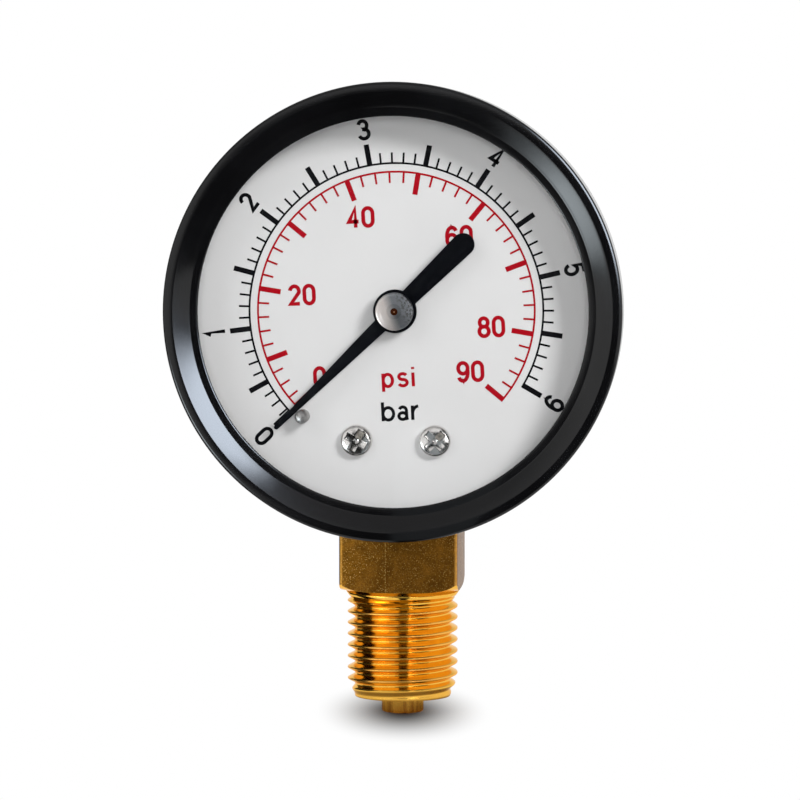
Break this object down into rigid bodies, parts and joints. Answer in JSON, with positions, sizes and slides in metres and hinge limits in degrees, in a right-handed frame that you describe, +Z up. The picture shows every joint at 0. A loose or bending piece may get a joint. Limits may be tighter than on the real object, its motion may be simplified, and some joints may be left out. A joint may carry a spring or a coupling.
{
  "type": "pressure gauge",
  "caption": "Bourdon-tube pressure gauge: round dial under a window in a black steel case, with a threaded brass stem below.",
  "frame": {"origin": "on the stem's axis, in the plane of the annular seal face at the end of the thread", "axes": "+Z up the stem towards the dial, -Y the way the dial faces, +X to the right of its reader"},
  "size_m": [0.0532, 0.028, 0.075],
  "materials": {
    "case_paint": "gloss black paint on steel",
    "ring_paint": "gloss black enamel on steel",
    "window_clear": "clear polished",
    "gasket_rubber": "matt",
    "socket_brass": "turned and milled",
    "dial_paint": "satin white",
    "screw_nickel": "bright nickel plate",
    "stop_pin_metal": "satin",
    "pointer_paint": "matt black",
    "hub_metal": "fine turned",
    "tube_bronze": "drawn",
    "movement_brass": "stamped and brushed",
    "arbor_steel": "ground",
    "spring_bronze": "rolled"
  },
  "bodies": {
    "gauge": {"case": "case_paint", "bezel_ring": "ring_paint", "window": "window_clear", "window_gasket": "gasket_rubber", "case_screws": "screw_nickel", "socket": "socket_brass", "dial_plate": "dial_paint", "dial_screws": "screw_nickel", "stop_pin": "stop_pin_metal", "bourdon_tube": "tube_bronze", "back_plate": "movement_brass", "front_plate": "movement_brass", "movement_pillars": "movement_brass", "movement_screws": "screw_nickel", "hairspring": "spring_bronze", "hairspring_stud": "movement_brass"},
    "pointer": {"pointer_blade": "pointer_paint", "pointer_hub": "hub_metal", "pinion_arbor": "arbor_steel", "hairspring_collet": "movement_brass"},
    "sector": {"sector_gear": "movement_brass", "sector_arbor": "arbor_steel", "link_tail_pin": "arbor_steel"},
    "tube_end": {"tube_tip": "movement_brass", "link_tip_pin": "arbor_steel"},
    "link": {"link": "movement_brass"}
  },
  "joints": [
    {"name": "pointer_turn", "type": "hinge", "parent": "gauge", "child": "pointer", "pos_m": [0, -0.006, 0.0465], "axis": [0, 1, 0], "range_deg": [0, 264], "stiffness_Nm_per_rad": 0.0002, "springref_deg": -34.38, "deforming": ["hairspring"]},
    {"name": "sector_turn", "type": "hinge", "parent": "gauge", "child": "sector", "pos_m": [0, -0.006, 0.0375], "axis": [0, 1, 0], "range_deg": [-33.5, 0.5]},
    {"name": "tube_tip_swing", "type": "hinge", "parent": "gauge", "child": "tube_end", "pos_m": [-0.00107, 0, 0.05063], "axis": [0, 1, 0], "range_deg": [-7.8, 0.2], "deforming": ["bourdon_tube"]},
    {"name": "link_swing", "type": "hinge", "parent": "tube_end", "child": "link", "pos_m": [0.0097, -0.0054, 0.042], "axis": [0, 1, 0], "range_deg": [-0.2, 6.7]}
  ],
  "couplings": [
    {"joint": "sector_turn", "follows": "pointer_turn", "ratio": -0.125},
    {"joint": "tube_tip_swing", "follows": "pointer_turn", "ratio": -0.0285},
    {"joint": "link_swing", "follows": "pointer_turn", "ratio": 0.0244}
  ]
}
